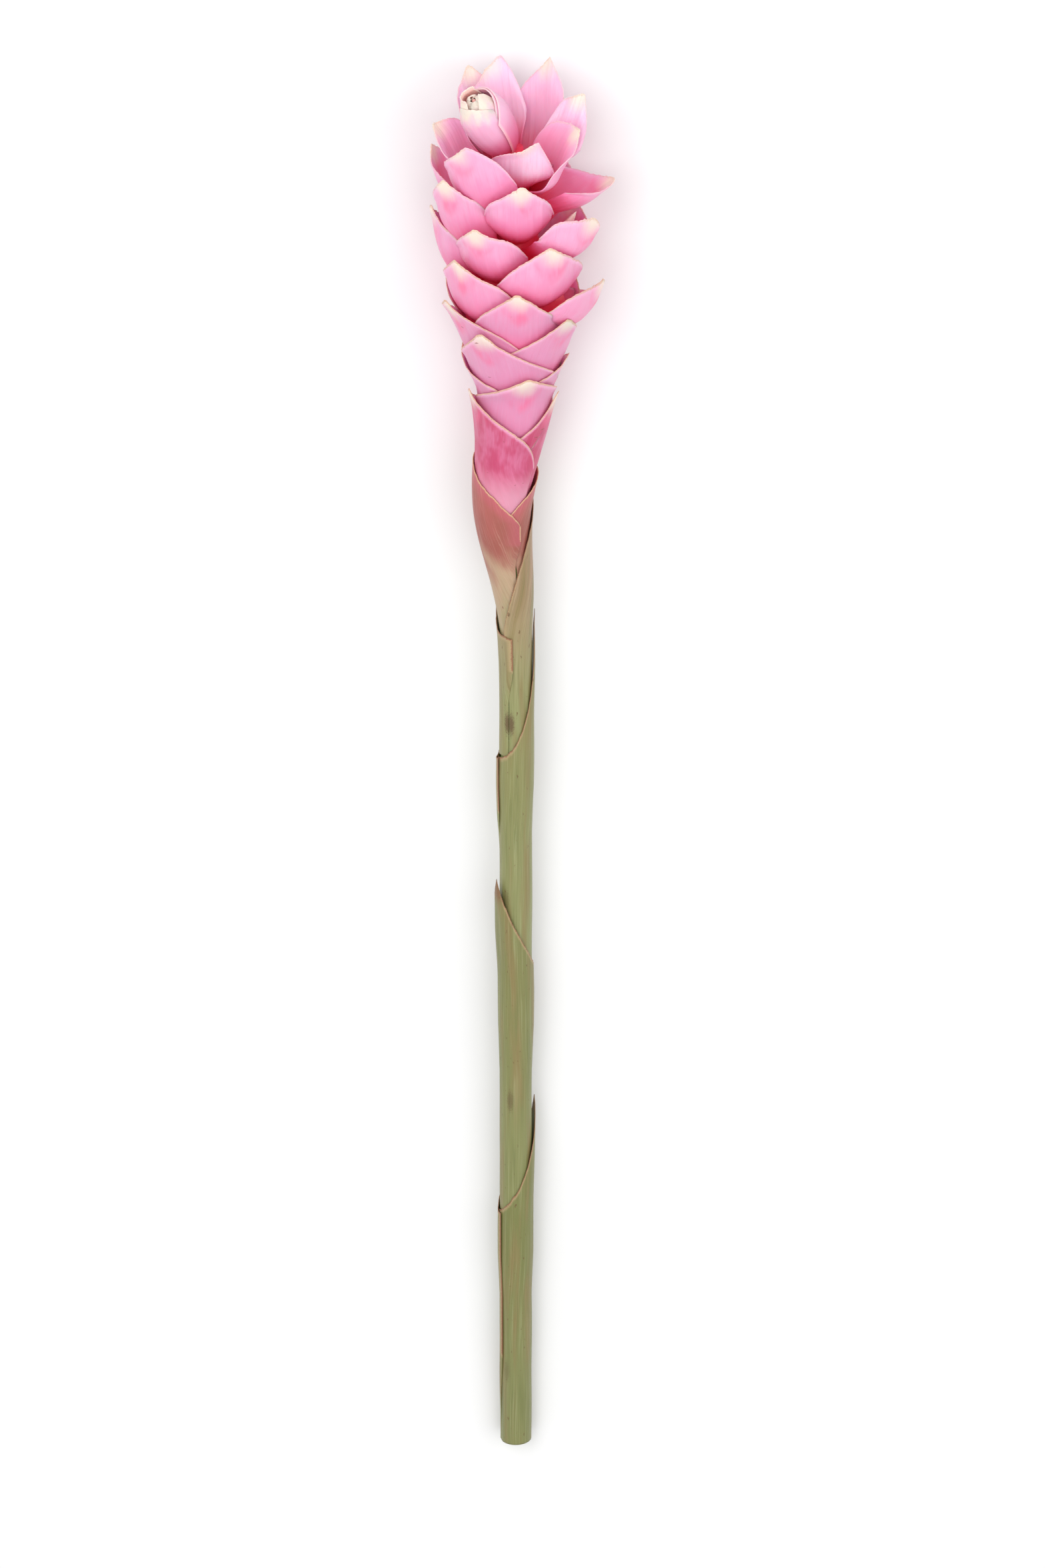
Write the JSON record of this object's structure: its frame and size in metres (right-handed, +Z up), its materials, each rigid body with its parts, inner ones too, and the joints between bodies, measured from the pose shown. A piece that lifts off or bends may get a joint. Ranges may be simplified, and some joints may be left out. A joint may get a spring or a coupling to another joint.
{
  "type": "red ginger",
  "caption": "Cut ginger flower stem lying down: overlapping pink bracts, tight at the foot and open above, with a cream tip bud, on a green cane in rolled leaf sheaths.",
  "frame": {"origin": "on the surface that the stem lies on, below the middle of its bounding box", "axes": "+Z up from the surface, +Y along the stem from the cut end towards the flower head"},
  "size_m": [0.0944, 0.822, 0.0836],
  "materials": {
    "bracts": "satin",
    "bud": "satin",
    "spathe": "satin",
    "sheaths": "satin",
    "cane": "satin"
  },
  "bodies": {
    "root": {"stem": "cane", "leaf_sheath_1": "sheaths", "leaf_sheath_2": "sheaths", "leaf_sheath_3": "sheaths", "leaf_sheath_4": "sheaths", "spathe": "spathe", "flower_head": "bracts", "flower_bud": "bud", "tip_bud": "bud"}
  },
  "joints": []
}
